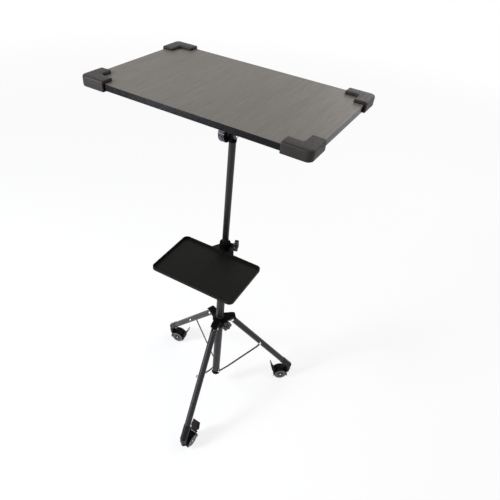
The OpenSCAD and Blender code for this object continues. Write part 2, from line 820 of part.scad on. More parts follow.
module plate_screws() {
    low = tray_under - yoke_t;
    color("#b8b8bb") on_mast() for (sx = [-1, 1], sy = [-1, 1])
        translate([sx * (plate_l / 2 - screw_inset), sy * (plate_w / 2 - screw_inset), low]) {
            cylinder(r = screw_r, h = screw_l + yoke_t);
            rotate([180, 0, 0]) rivet_head(screw_head_r, screw_head_t);
        }
}

// Places its children at the middle of the tray's top
module on_tray() {
    on_mast() translate([tray_dx, tray_dy, tray_height]) children();
}

module tray_board() {
    hx = tray_l / 2 - edging_t;
    hy = tray_w / 2 - edging_t;
    color("#6e6b66") difference() {
        on_tray() block([-hx, -hy, -tray_t], [hx, hy, 0]);
        on_mast() for (sx = [-1, 1], sy = [-1, 1])
            translate([sx * (plate_l / 2 - screw_inset), sy * (plate_w / 2 - screw_inset), tray_under - over])
                cylinder(r = screw_r + seat, h = screw_l + 2 * over);
    }
}

module tray_edging() {
    hx = tray_l / 2;
    hy = tray_w / 2;
    color("#232227") on_tray() difference() {
        block([-hx, -hy, -tray_t], [hx, hy, 0]);
        block([-hx + edging_t, -hy + edging_t, -tray_t - over], [hx - edging_t, hy - edging_t, over]);
    }
}

// A foam guard round one corner of the tray: sx and sy say which corner
module corner_guard(sx, sy) {
    low = -tray_t - guard_lip_t;
    x0 = tray_l / 2 + guard_side_t;
    y0 = tray_w / 2 + guard_side_t;
    r = guard_corner_r;
    color("#4d4742") on_tray() mirror([sx < 0 ? 1 : 0, 0, 0]) mirror([0, sy < 0 ? 1 : 0, 0]) difference() {
        union() {
            block([x0 - guard_arm, y0 - guard_flap, low], [x0 - r, y0, guard_top_t]);
            block([x0 - guard_flap, y0 - guard_arm, low], [x0, y0 - r, guard_top_t]);
            translate([x0 - r, y0 - r, low]) cylinder(r = r, h = guard_top_t - low);
        }
        block([0, 0, -tray_t - face_gap], [tray_l / 2 + face_gap, tray_w / 2 + face_gap, face_gap]);
    }
}

// A star knob along x: screw from x = tip, head's near face at x = head
module star_knob(tip, head) {
    lobe_at = star_d / 2 - star_lobe_r;
    along_x(star_screw_d / 2, tip, head);
    along_x(star_hub_r, head - star_hub_l, head + star_t + star_head_lift / 2);
    along_x(star_core_r, head, head + star_t);
    for (k = [0 : star_lobes - 1]) rotate([k * 360 / star_lobes, 0, 0])
        translate([0, lobe_at, 0]) along_x(star_lobe_r, head, head + star_t);
}

module mast_knob() {
    color("#18181a") on_mast() rotate([0, 0, collar_turn]) translate([0, 0, tube_top - collar_screw_drop])
        star_knob(pole_r + face_gap, boss_reach + star_hub_l + face_gap);
}

module hub_knob() {
    color("#18181a") on_mast() rotate([0, 0, front_leg_turn + hub_knob_turn])
        translate([0, 0, hub_height + hub_screw_rise])
            star_knob(tube_r + face_gap, hub_boss_reach + star_hub_l + face_gap);
}

lower_tube();
foot_plug();
foot_rivets();
mast_collar();
collar_bush();
shelf_liner();
shelf_clamp();
clamp_screw();
shelf_tray();
hub();
hub_bush();
leg_pivot_rivets();
leg_tube(0);  // leg_tube_front
leg_tube(1);  // leg_tube_right
leg_tube(2);  // leg_tube_left
leg_boot(0);  // leg_boot_front
leg_boot(1);  // leg_boot_right
leg_boot(2);  // leg_boot_left
brace_rivet(0);  // brace_rivet_front
brace_rivet(1);  // brace_rivet_right
brace_rivet(2);  // brace_rivet_left
brace(0);  // brace_front
brace(1);  // brace_right
brace(2);  // brace_left
caster_stem(0);  // caster_stem_front
caster_stem(1);  // caster_stem_right
caster_stem(2);  // caster_stem_left
caster_hood(0);  // caster_hood_front
caster_hood(1);  // caster_hood_right
caster_hood(2);  // caster_hood_left
caster_axle(0);  // caster_axle_front
caster_axle(1);  // caster_axle_right
caster_axle(2);  // caster_axle_left
wheel(0, 1);  // wheel_a_front
wheel(1, 1);  // wheel_a_right
wheel(2, 1);  // wheel_a_left
wheel(0, -1);  // wheel_b_front
wheel(1, -1);  // wheel_b_right
wheel(2, -1);  // wheel_b_left
brake_pedal(0);  // brake_pedal_front
brake_pedal(1);  // brake_pedal_right
brake_pedal(2);  // brake_pedal_left
guide_plug();
upper_pole();
pole_head();
tilt_yoke();
tilt_bolt();
tilt_washers();
tilt_knob();
plate_screws();
tray_board();
tray_edging();
corner_guard(-1, -1);  // corner_guard_front_left
corner_guard(1, -1);  // corner_guard_front_right
corner_guard(-1, 1);  // corner_guard_back_left
corner_guard(1, 1);  // corner_guard_back_right
mast_knob();
hub_knob();
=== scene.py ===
"""Looks of a rolling tripod stand with a tray and a shelf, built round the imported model."""
import json
import math

import bmesh
import bpy
from mathutils import Matrix, Vector


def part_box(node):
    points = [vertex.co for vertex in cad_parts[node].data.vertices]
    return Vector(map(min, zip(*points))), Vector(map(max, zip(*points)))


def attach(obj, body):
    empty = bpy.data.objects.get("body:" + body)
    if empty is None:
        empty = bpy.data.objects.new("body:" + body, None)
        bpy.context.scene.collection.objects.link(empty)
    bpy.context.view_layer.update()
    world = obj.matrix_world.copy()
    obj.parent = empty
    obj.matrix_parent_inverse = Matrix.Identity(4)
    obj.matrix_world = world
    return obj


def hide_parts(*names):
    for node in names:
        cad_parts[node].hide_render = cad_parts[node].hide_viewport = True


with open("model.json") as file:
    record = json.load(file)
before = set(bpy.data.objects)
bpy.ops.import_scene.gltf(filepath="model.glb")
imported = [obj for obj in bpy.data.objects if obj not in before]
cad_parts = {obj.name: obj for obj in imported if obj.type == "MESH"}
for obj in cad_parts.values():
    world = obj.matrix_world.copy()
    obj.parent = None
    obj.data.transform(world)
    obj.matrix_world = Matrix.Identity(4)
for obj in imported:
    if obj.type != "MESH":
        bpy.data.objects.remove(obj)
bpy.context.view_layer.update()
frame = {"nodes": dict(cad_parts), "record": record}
bpy.context.scene.view_settings.view_transform = "Standard"
NODES = frame["nodes"]
SIDES = ("front", "right", "left")
MM = 0.001
UP = (0, 0, 1)
WHITE = (1, 1, 1)


# ---------------------------------------------------------------- places from the frame
def middle(node):
    low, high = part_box(node)
    return (Vector(low) + Vector(high)) / 2


MAST = middle("lower_tube")
MAST.z = 0.0


def frame_of(origin, x_axis, z_axis):
    """A matrix that takes local coordinates to the model: x and z are given, y follows."""
    z = Vector(z_axis).normalized()
    x = Vector(x_axis)
    x = (x - z * x.dot(z)).normalized()
    y = z.cross(x)
    m = Matrix((x, y, z)).transposed().to_4x4()
    m.translation = Vector(origin)
    return m


def caster_frame(side):
    """Origin at the wheels' axle: x away from the stem, y along the axle, z up."""
    axle = (middle(f"wheel_a_{side}") + middle(f"wheel_b_{side}")) / 2
    stem = middle(f"caster_stem_{side}")
    out = axle - stem
    out.z = 0
    return frame_of(axle, out, UP)


def leg_frame(side):
    """Origin at the mast on the floor: x out along a leg, y anticlockwise, z up."""
    out = middle(f"caster_stem_{side}") - MAST
    out.z = 0
    return frame_of(MAST, out, UP)


def knob_frame(node):
    """Origin on the mast's axis at the knob's height, x out along its screw."""
    mid = middle(node)
    out = mid - MAST
    out.z = 0
    return frame_of((MAST.x, MAST.y, mid.z), out, UP)


# ---------------------------------------------------------------- meshes
SHARP = 0.7                # radians between faces from which an edge stays hard
SHARP_FOAM = 0.8
SHARP_STRIP = 0.5
NEVER_SHARP = 3.2
WELD_DIST = 1e-6
POINT_R = 1e-5             # stands for a radius of zero, so that a ring never collapses
FINE_TURN = 72             # points round a turned solid
COARSE_TURN = 40
ROUND_STEPS = 6
ROUND_SHARE = 0.49         # the most of a polygon's side that one rounded corner takes


def piece(name, verts, faces, body, mat, sharp=SHARP):
    mesh = bpy.data.meshes.new(name)
    mesh.from_pydata([tuple(v) for v in verts], [], faces)
    bm = bmesh.new()
    bm.from_mesh(mesh)
    bmesh.ops.remove_doubles(bm, verts=bm.verts, dist=WELD_DIST)
    bmesh.ops.recalc_face_normals(bm, faces=bm.faces)
    bm.to_mesh(mesh)
    bm.free()
    return dress(name, mesh, body, mat, sharp)


def dress(name, mesh, body, mat, sharp):
    obj = bpy.data.objects.new(name, mesh)
    bpy.context.scene.collection.objects.link(obj)
    mesh.materials.clear()
    mesh.materials.append(mat)
    for p in mesh.polygons:
        p.use_smooth = True
    mesh.set_sharp_from_angle(angle=sharp)
    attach(obj, body)
    return obj


def rings_to_mesh(rings):
    """Joins closed rings of points, all of one length, into a tube with both ends capped."""
    verts, faces, n = [], [], len(rings[0])
    for ring in rings:
        verts.extend(ring)
    for i in range(len(rings) - 1):
        for j in range(n):
            k = (j + 1) % n
            faces.append((i * n + j, i * n + k, (i + 1) * n + k, (i + 1) * n + j))
    last = (len(rings) - 1) * n
    faces.append(tuple(range(n - 1, -1, -1)))
    faces.append(tuple(range(last, last + n)))
    return verts, faces


def turned(profile, matrix, segments=COARSE_TURN):
    """A solid of revolution about local z. profile holds (radius, height); radius 0 closes."""
    rings = []
    for r, h in profile:
        r = max(r, POINT_R)
        rings.append([matrix @ Vector((r * math.cos(2 * math.pi * k / segments),
                                       r * math.sin(2 * math.pi * k / segments), h))
                      for k in range(segments)])
    return rings_to_mesh(rings)


def rounded(points):
    """Rounds a closed polygon's corners. points holds (x, y, radius)."""
    out, n = [], len(points)
    for i, (x, y, r) in enumerate(points):
        p = Vector((x, y))
        a = Vector(points[i - 1][:2]) - p
        b = Vector(points[(i + 1) % n][:2]) - p
        half = a.angle(b) / 2
        cut = min(r / math.tan(half), a.length * ROUND_SHARE, b.length * ROUND_SHARE)
        radius = cut * math.tan(half)
        start, end = p + a.normalized() * cut, p + b.normalized() * cut
        inward = (a.normalized() + b.normalized()).normalized()
        centre = p + inward * (radius / math.sin(half))
        u, v = start - centre, end - centre
        sweep = u.angle_signed(v)
        for k in range(ROUND_STEPS + 1):
            out.append(centre + Matrix.Rotation(-sweep * (k / ROUND_STEPS), 2) @ u)
    return out


def join_lists(parts):
    verts, faces = [], []
    for v, f in parts:
        base = len(verts)
        verts.extend(v)
        faces.extend(tuple(i + base for i in face) for face in f)
    return verts, faces


# ---------------------------------------------------------------- materials
BEVEL_SAMPLES = 4
EDGE_FROM, EDGE_TO = 0.01, 0.2     # how far a rounded normal leaves the true one at an edge
MIX_A, MIX_B, MIX_OUT = 6, 7, 2    # the colour sockets of Blender's Mix node
EDGE_LIGHTER = 1.9
STREAK_DARKER = 0.72


class Shader:
    """A small builder of node trees round one Principled shader. Scales are per metre."""

    def __init__(self, name, color, roughness, **sockets):
        self.mat = bpy.data.materials.new(name)
        self.mat.use_nodes = True
        self.tree = self.mat.node_tree
        self.bsdf = self.tree.nodes["Principled BSDF"]
        self.bsdf.inputs["Base Color"].default_value = (*color, 1)
        self.bsdf.inputs["Roughness"].default_value = roughness
        for key, value in sockets.items():
            self.bsdf.inputs[key.replace("_", " ")].default_value = value
        self.color = color
        self.coords = self.node("ShaderNodeTexCoord").outputs["Object"]
        self.normal = None

    def node(self, kind, **values):
        n = self.tree.nodes.new(kind)
        for key, value in values.items():
            if hasattr(n, key):
                setattr(n, key, value)
            else:
                n.inputs[key.replace("_", " ")].default_value = value
        return n

    def link(self, a, b):
        self.tree.links.new(a, b)

    def scaled(self, scale):
        m = self.node("ShaderNodeMapping")
        m.inputs["Scale"].default_value = scale if hasattr(scale, "__len__") else (scale,) * 3
        self.link(self.coords, m.inputs["Vector"])
        return m.outputs["Vector"]

    def noise(self, scale, detail=4.0, rough=0.55):
        n = self.node("ShaderNodeTexNoise", Scale=1.0, Detail=detail, Roughness=rough)
        self.link(self.scaled(scale), n.inputs["Vector"])
        return n.outputs["Fac"]

    def ramp(self, value, low, high, to_low=0.0, to_high=1.0):
        n = self.node("ShaderNodeMapRange", From_Min=low, From_Max=high,
                      To_Min=to_low, To_Max=to_high)
        self.link(value, n.inputs["Value"])
        return n.outputs["Result"]

    def tint(self, share, color):
        """Lays another colour over what is there."""
        socket = self.bsdf.inputs["Base Color"]
        n = self.node("ShaderNodeMix", data_type="RGBA", blend_type="MIX")
        self.link(share, n.inputs["Factor"])
        if socket.is_linked:
            self.link(socket.links[0].from_socket, n.inputs[MIX_A])
        else:
            n.inputs[MIX_A].default_value = (*self.color, 1)
        n.inputs[MIX_B].default_value = (*color, 1)
        self.link(n.outputs[MIX_OUT], socket)

    def patches(self, scale, low, high, share, color, detail=4.0):
        """Soft patches of another colour, up to the given share where the noise passes high."""
        self.tint(self.ramp(self.noise(scale, detail), low, high, 0, share), color)

    def vary_roughness(self, value, low, high, smooth, rough):
        self.link(self.ramp(value, low, high, smooth, rough), self.bsdf.inputs["Roughness"])

    def bump(self, height, strength, depth):
        n = self.node("ShaderNodeBump", Strength=strength, Distance=depth)
        self.link(height, n.inputs["Height"])
        if self.normal:
            self.link(self.normal, n.inputs["Normal"])
        self.normal = n.outputs["Normal"]
        self.link(self.normal, self.bsdf.inputs["Normal"])

    def grain(self, scale, detail, strength, depth):
        self.bump(self.noise(scale, detail), strength, depth)

    def soft_edges(self, radius):
        n = self.node("ShaderNodeBevel", samples=BEVEL_SAMPLES, Radius=radius)
        self.normal = n.outputs["Normal"]
        self.link(self.normal, self.bsdf.inputs["Normal"])

    def edge_mask(self, radius):
        """White along sharp edges, from how far a rounded normal leaves the true one."""
        bevel = self.node("ShaderNodeBevel", samples=BEVEL_SAMPLES, Radius=radius)
        geo = self.node("ShaderNodeNewGeometry")
        dot = self.node("ShaderNodeVectorMath", operation="DOT_PRODUCT")
        self.link(bevel.outputs["Normal"], dot.inputs[0])
        self.link(geo.outputs["Normal"], dot.inputs[1])
        return self.ramp(dot.outputs["Value"], 1 - EDGE_FROM, 1 - EDGE_TO)


def srgb(r, g, b):
    """Colour from 0..255 screen values."""
    return tuple(((c / 255) / 12.92) if c <= 10 else (((c / 255) + 0.055) / 1.055) ** 2.4
                 for c in (r, g, b))


def make_tube_paint(name="tube_paint", color=srgb(17, 14, 19)):
    s = Shader(name, color, 0.3, Specular_IOR_Level=0.34)
    s.soft_edges(radius=0.4 * MM)
    s.patches(scale=38, low=0.42, high=0.62, share=0.5, color=srgb(26, 21, 23))
    s.patches(scale=900, low=0.66, high=0.78, share=0.4, color=srgb(44, 38, 41), detail=2)
    s.vary_roughness(s.noise(scale=55), low=0.3, high=0.7, smooth=0.3, rough=0.46)
    s.grain(scale=1400, detail=3, strength=0.10, depth=0.2 * MM)
    return s.mat


def make_moulding(name, color, worn, shine, rough, grain):
    """Moulded plastic. rough holds the least and the most roughness, grain is a scale."""
    s = Shader(name, color, 0.5, Specular_IOR_Level=shine)
    s.soft_edges(radius=0.6 * MM)
    s.patches(scale=60, low=0.4, high=0.65, share=0.6, color=worn)
    s.tint(s.edge_mask(radius=0.5 * MM), tuple(c * EDGE_LIGHTER for c in worn))
    s.vary_roughness(s.noise(scale=90), low=0.3, high=0.7, smooth=rough[0], rough=rough[1])
    s.grain(scale=grain, detail=2, strength=0.22, depth=0.25 * MM)
    return s.mat


def make_gloss(name, color, rough, shine, coat, worn=srgb(24, 23, 29)):
    s = Shader(name, color, rough, Specular_IOR_Level=shine, Coat_Weight=coat, Coat_Roughness=0.06)
    s.soft_edges(radius=0.6 * MM)
    s.patches(scale=70, low=0.45, high=0.65, share=0.5, color=worn)
    s.vary_roughness(s.noise(scale=160), low=0.35, high=0.7, smooth=rough, rough=rough + 0.14)
    s.grain(scale=420, detail=2, strength=0.06, depth=0.3 * MM)
    return s.mat


def make_tyre():
    s = Shader("tyre_rubber", srgb(104, 100, 106), 0.35, Specular_IOR_Level=0.5)
    s.patches(scale=120, low=0.4, high=0.65, share=0.7, color=srgb(84, 80, 86))
    s.patches(scale=900, low=0.6, high=0.75, share=0.6, color=srgb(60, 57, 60), detail=3)
    s.vary_roughness(s.noise(scale=200), low=0.3, high=0.7, smooth=0.36, rough=0.6)
    s.grain(scale=1500, detail=2, strength=0.15, depth=0.2 * MM)
    return s.mat


def make_steel(name, color, rough, streak):
    s = Shader(name, color, rough, Metallic=1.0)
    s.soft_edges(radius=0.3 * MM)
    s.patches(scale=streak, low=0.4, high=0.65, share=0.5,
              color=tuple(c * STREAK_DARKER for c in color))
    s.vary_roughness(s.noise(scale=300), low=0.35, high=0.7, smooth=rough, rough=rough + 0.16)
    s.grain(scale=800, detail=2, strength=0.05, depth=0.1 * MM)
    return s.mat


def make_laminate():
    """Grey wood print whose grain runs along y: scales differ across and along it."""
    s = Shader("laminate", srgb(103, 99, 92), 0.42, Specular_IOR_Level=0.25)
    fine = s.noise(scale=(1500, 26, 26), detail=5, rough=0.6)
    broad = s.noise(scale=(95, 4.5, 4.5), detail=4, rough=0.6)
    pores = s.noise(scale=(2600, 110, 110), detail=2, rough=0.5)
    s.tint(s.ramp(broad, low=0.40, high=0.62, to_high=0.55), srgb(92, 87, 80))
    s.tint(s.ramp(fine, low=0.44, high=0.62, to_high=0.5), srgb(81, 76, 69))
    s.tint(s.ramp(pores, low=0.63, high=0.72, to_high=0.5), srgb(64, 59, 53))
    s.vary_roughness(fine, low=0.35, high=0.65, smooth=0.36, rough=0.5)
    s.bump(fine, strength=0.18, depth=0.12 * MM)
    s.bump(pores, strength=0.12, depth=0.1 * MM)
    return s.mat


def make_foam():
    s = Shader("guard_foam", srgb(37, 32, 29), 0.5, Specular_IOR_Level=0.2, Sheen_Weight=0.02)
    s.patches(scale=28, low=0.4, high=0.65, share=0.5, color=srgb(30, 26, 23))
    s.patches(scale=700, low=0.62, high=0.75, share=0.45, color=srgb(26, 22, 20), detail=2)
    s.vary_roughness(s.noise(scale=150), low=0.3, high=0.7, smooth=0.4, rough=0.58)
    s.grain(scale=1100, detail=3, strength=0.25, depth=0.3 * MM)
    s.grain(scale=90, detail=2, strength=0.12, depth=1.2 * MM)
    return s.mat


def make_shelf():
    s = Shader("shelf_plastic", srgb(15, 15, 11), 0.5, Specular_IOR_Level=0.1)
    s.soft_edges(radius=0.7 * MM)
    s.patches(scale=16, low=0.4, high=0.65, share=0.5, color=srgb(21, 20, 16))
    s.tint(s.edge_mask(radius=0.7 * MM), srgb(38, 35, 35))
    s.vary_roughness(s.noise(scale=50), low=0.3, high=0.7, smooth=0.44, rough=0.6)
    s.grain(scale=1700, detail=2, strength=0.25, depth=0.25 * MM)
    return s.mat


MAT = {
    "tube": make_tube_paint(),
    "moulding": make_moulding("moulding", srgb(5, 5, 5), worn=srgb(9, 9, 8),
                              shine=0.03, rough=(0.5, 0.7), grain=2200),
    "nylon": make_moulding("nylon", srgb(70, 70, 72), worn=srgb(84, 83, 84),
                           shine=0.03, rough=(0.5, 0.7), grain=2200),
    "boot": make_moulding("boot_plastic", srgb(12, 11, 14), worn=srgb(17, 15, 19),
                          shine=0.16, rough=(0.32, 0.44), grain=1800),
    "knob": make_gloss("knob_plastic", srgb(16, 13, 18), rough=0.2, shine=0.35, coat=0.15),
    "hood": make_moulding("hood_plastic", srgb(11, 10, 9), worn=srgb(16, 14, 13),
                          shine=0.05, rough=(0.36, 0.52), grain=1500),
    "wheel": make_gloss("wheel_cap", srgb(6, 6, 10), rough=0.12, shine=0.24, coat=0.08),
    "tyre": make_tyre(),
    # The pedal's brown-grey colour, lighter than the near-black hood, is a painted reflection of warm
    # light from above on the upward fin.
    "pedal": make_moulding("pedal_painted_reflection", srgb(36, 31, 28), worn=srgb(46, 40, 36),
                           shine=0.1, rough=(0.4, 0.58), grain=1500),
    # The braces' brownish colour, lighter than the tube paint, is a painted reflection.
    "brace": make_tube_paint("brace_paint_painted_reflection", srgb(30, 23, 20)),
    "rivet": make_steel("rivet_chrome", (0.86, 0.86, 0.88), rough=0.12, streak=300),
    "steel": make_steel("zinc_steel", (0.62, 0.62, 0.64), rough=0.28, streak=(400, 400, 40)),
    "board": make_laminate(),
    "edging": make_gloss("edging_gloss", srgb(5, 5, 8), rough=0.14, shine=0.15, coat=0.0,
                         worn=srgb(8, 8, 12)),
    "foam": make_foam(),
    "shelf": make_shelf(),
}
SLOT_OF = {s["node"]: s["material_slot"] for s in frame["record"]["subparts"]}
for node_name, node_obj in NODES.items():
    node_obj.data.materials.clear()
    node_obj.data.materials.append(MAT[SLOT_OF[node_name]])


# ---------------------------------------------------------------- fused mouldings
SKIN_WELD = 2e-6
SKIN_SOFTEN = 0.5


def moulded(node, body, mat, voxel, passes):
    """A copy of a CAD node remeshed and smoothed, so its parts run together in fillets."""
    obj = dress(node + "_moulded", NODES[node].data.copy(), body, mat, NEVER_SHARP)
    weld = obj.modifiers.new("weld", "WELD")
    weld.merge_threshold = SKIN_WELD
    skin = obj.modifiers.new("skin", "REMESH")
    skin.mode = "VOXEL"
    skin.voxel_size = voxel
    skin.use_smooth_shade = True
    soft = obj.modifiers.new("soften", "SMOOTH")
    soft.factor = SKIN_SOFTEN
    soft.iterations = passes
    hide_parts(node)


def add_mouldings():
    moulded("hub", "hub", MAT["moulding"], voxel=0.8 * MM, passes=6)
    moulded("mast_collar", "mast_base", MAT["moulding"], voxel=0.6 * MM, passes=5)
    for side in SIDES:
        moulded(f"leg_boot_{side}", f"leg_{side}", MAT["boot"],
                voxel=0.8 * MM, passes=7)
        moulded(f"caster_hood_{side}", f"caster_{side}", MAT["hood"],
                voxel=0.5 * MM, passes=4)
        moulded(f"brake_pedal_{side}", f"pedal_{side}", MAT["pedal"],
                voxel=0.4 * MM, passes=3)


# ---------------------------------------------------------------- foam corner guards
GUARD_ROUND = 5.5 * MM
GUARD_LIP_ROUND = 3.6 * MM
GUARD_FLAP_TOP_ROUND = 1.0 * MM
GUARD_FLAP_LOW_ROUND = 1.6 * MM
GUARD_MOUTH_ROUND = 0.8 * MM
GUARD_SLOT_ROUND = 0.6 * MM
GUARD_INNER_R = 9.0 * MM
GUARD_BEND_R = 8.0 * MM
GUARD_BEND_BLEND = 8.0 * MM
GUARD_CLEAR = 0.3 * MM
GUARD_LOW_WALL = 3.7 * MM
GUARD_FLAP = 28.0 * MM
GUARD_ARM_STEPS = 10
GUARD_BEND_STEPS = 14
GUARD_END_L = 1.4 * MM
GUARD_END = ((0.0, 1.2), (0.3, 0.5), (0.75, 0.14), (1.4, 0.0))  # share of END_L, inset in mm
GUARDS = (("front_left", -1, -1), ("front_right", 1, -1), ("back_left", -1, 1), ("back_right", 1, 1))


def guard_profile(side_t, top_t, low):
    """The C-shaped section of a guard: (outward from the board's edge, up from its top)."""
    t = GUARD_CLEAR
    slot_low = low + GUARD_LOW_WALL
    return rounded([
        (-GUARD_FLAP, t, GUARD_FLAP_TOP_ROUND), (-GUARD_FLAP, top_t, GUARD_LIP_ROUND),
        (side_t, top_t, GUARD_ROUND), (side_t, low, GUARD_LIP_ROUND),
        (-GUARD_FLAP, low, GUARD_FLAP_LOW_ROUND), (-GUARD_FLAP, slot_low, GUARD_MOUTH_ROUND),
        (t, slot_low, GUARD_SLOT_ROUND), (t, t, GUARD_SLOT_ROUND)])


def guard_bend(n):
    """The bend's radius for a point n outward from the board's edge."""
    if n > 0:
        return GUARD_BEND_R + n
    return GUARD_INNER_R + (GUARD_BEND_R - GUARD_INNER_R) * max(0, 1 + n / GUARD_BEND_BLEND)


def guard_place(n, u, arm):
    """Where a point lies. u runs 0..1 along one arm, 1..2 round the bend, 2..3 back out."""
    bend = guard_bend(n)
    if u <= 1:
        return -arm + u * (arm + n - bend), n
    if u >= 2:
        return n, n - bend + (u - 2) * (-arm - (n - bend))
    turn = math.pi / 2 * (2 - u)
    return n - bend + bend * math.cos(turn), n - bend + bend * math.sin(turn)


def guard_station(profile, corner, sx, sy, u, arm, inset):
    """One ring of the sweep at u, drawn in by inset."""
    ring = []
    for i, p in enumerate(profile):
        if inset:
            along = (profile[(i + 1) % len(profile)] - profile[i - 1]).normalized()
            p = p + Vector((along.y, -along.x)) * inset
        x, y = guard_place(p.x, u, arm)
        ring.append(Vector((corner.x + sx * x, corner.y + sy * y, corner.z + p.y)))
    return ring


def guard_stations(arm):
    """(u, inset) of each ring: the two ends are rounded by their insets."""
    e = GUARD_END_L / arm
    stations = [(e * share, inset * MM) for share, inset in GUARD_END]
    stations += [(k / GUARD_ARM_STEPS, 0) for k in range(1, GUARD_ARM_STEPS)]
    stations += [(1 + k / GUARD_BEND_STEPS, 0) for k in range(GUARD_BEND_STEPS + 1)]
    stations += [(2 + k / GUARD_ARM_STEPS, 0) for k in range(1, GUARD_ARM_STEPS)]
    return stations + [(3 - e * share, inset * MM) for share, inset in reversed(GUARD_END)]


def corner_guard(node, sx, sy):
    low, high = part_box("tray_edging")
    corner = Vector((high.x if sx > 0 else low.x, high.y if sy > 0 else low.y, high.z))
    g_low, g_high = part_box(node)
    side_t = abs((g_high.x if sx > 0 else g_low.x) - corner.x)
    arm = (g_high.x - g_low.x) - side_t
    profile = guard_profile(side_t, g_high.z - corner.z, g_low.z - corner.z)
    verts, faces = rings_to_mesh([guard_station(profile, corner, sx, sy, u, arm, inset)
                                  for u, inset in guard_stations(arm)])
    obj = piece(node + "_foam", verts, faces, "tray", MAT["foam"], SHARP_FOAM)
    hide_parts(node)


def add_guards():
    for name, sx, sy in GUARDS:
        corner_guard("corner_guard_" + name, sx, sy)


# ---------------------------------------------------------------- star knobs
STAR_R = 18.0 * MM
STAR_CORE_R = STAR_R * 0.68
STAR_LOBE_R = STAR_R * 0.305
STAR_LOBE_AT = STAR_R - STAR_LOBE_R
STAR_LOBES = 6
STAR_BLEND = 900.0         # the higher, the tighter the valleys between the lobes
STAR_SEGMENTS = 144
STAR_RIM_R = 3.2 * MM
STAR_RIM_STEPS = 6
STAR_DISH = 1.1 * MM
STAR_DISH_ROWS = ((0.62, 0.0), (0.55, 0.5), (0.48, 1.0), (0.2, 1.0))  # shares of R and of DISH
STAR_T = 13.0 * MM
STAR_CAP = 1.5 * MM
STAR_CAP_ROOT = 2.0 * MM
STAR_CAP_EDGE = ((6.4, 1.0), (5.6, 0.2), (4.4, 0.0))  # radius, depth from the end, in mm
STAR_NECK = 4.0 * MM
STAR_NECK_R = 6.5 * MM
STAR_NECK_EDGE_R = 6.3 * MM
STAR_NECK_BEVEL = 0.6 * MM
STAR_FLARE_R = 8.5 * MM
STAR_FLARE_FROM = 1.5 * MM
STAR_FLARE_IN = 0.6 * MM
STAR_NECK_IN = 1.0 * MM
SCREW_R = 3.0 * MM


def star_radius(angle):
    """The knob's outline: round lobes on a round core, with soft valleys between them."""
    step = 2 * math.pi / STAR_LOBES
    a = (angle + step / 2) % step - step / 2
    side = STAR_LOBE_AT * math.sin(abs(a))
    reach = 0
    if side < STAR_LOBE_R:
        reach = STAR_LOBE_AT * math.cos(a) + math.sqrt(max(STAR_LOBE_R ** 2 - side ** 2, 0))
    return math.log(math.exp(STAR_BLEND * reach) + math.exp(STAR_BLEND * STAR_CORE_R)) / STAR_BLEND


def ring_across(m, x, radii):
    """A ring round local x, with one radius for each of its points."""
    ring = []
    for j, r in enumerate(radii):
        a = 2 * math.pi * j / len(radii)
        ring.append(m @ Vector((x, r * math.cos(a), r * math.sin(a))))
    return ring


def rim_rows(near, far):
    """(x, inset) from one face of the head to the other, with a rounded rim at each."""
    curve = []
    for k in range(STAR_RIM_STEPS + 1):
        a = math.pi / 2 * k / STAR_RIM_STEPS
        curve.append((STAR_RIM_R * (1 - math.cos(a)), STAR_RIM_R * (1 - math.sin(a))))
    return [(near + x, inset) for x, inset in curve] + [(far - x, inset) for x, inset in reversed(curve)]


def star_head(m, near, far):
    """The lobed head from x = near to x = far, with rounded rims and a dished face."""
    outline = [star_radius(2 * math.pi * j / STAR_SEGMENTS) for j in range(STAR_SEGMENTS)]
    rings = [ring_across(m, x, [r - inset for r in outline]) for x, inset in rim_rows(near, far)]
    rings += [ring_across(m, far - STAR_DISH * depth, [STAR_R * share] * STAR_SEGMENTS)
              for share, depth in STAR_DISH_ROWS]
    return rings_to_mesh(rings)


def star_neck(m, tip, near):
    """The screw and the neck that flares into the head."""
    foot = near - STAR_NECK
    return turned([(0, tip), (SCREW_R, tip), (SCREW_R, foot), (STAR_NECK_EDGE_R, foot),
                   (STAR_NECK_R, foot + STAR_NECK_BEVEL), (STAR_NECK_R, near - STAR_FLARE_FROM),
                   (STAR_FLARE_R, near + STAR_FLARE_IN), (0, near + STAR_NECK_IN)], m)


def star_cap(m, far, end):
    root = far - STAR_CAP_ROOT
    edge = [(r * MM, end - depth * MM) for r, depth in STAR_CAP_EDGE]
    return turned([(0, root), (edge[0][0], root)] + edge + [(0, end)], m)


def reach_along(node, m):
    """How far a node goes along local x: nearest and furthest."""
    inv = m.inverted()
    xs = [(inv @ v.co).x for v in NODES[node].data.vertices]
    return min(xs), max(xs)


def star_knob(node):
    m = knob_frame(node)
    tip, end = reach_along(node, m)
    far = end - STAR_CAP
    near = far - STAR_T
    along_x = m @ Matrix.Rotation(math.pi / 2, 4, "Y")
    verts, faces = join_lists([star_neck(along_x, tip, near), star_head(m, near, far),
                               star_cap(along_x, far, end)])
    obj = piece(node + "_star", verts, faces, node, MAT["knob"])
    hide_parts(node)


def add_knobs():
    star_knob("mast_knob")
    star_knob("hub_knob")


# ---------------------------------------------------------------- wheels
WHEEL_R = 24.0 * MM
WHEEL_W = 13.0 * MM
TYRE_IN = 19.6 * MM
TYRE_ROUND = 2.5 * MM
TYRE_ANGLES = (0, 0.4, 0.8, 1.2, math.pi / 2)
TYRE_BACK_IN = 1.0 * MM
TYRE_BACK_STEP = 0.2 * MM
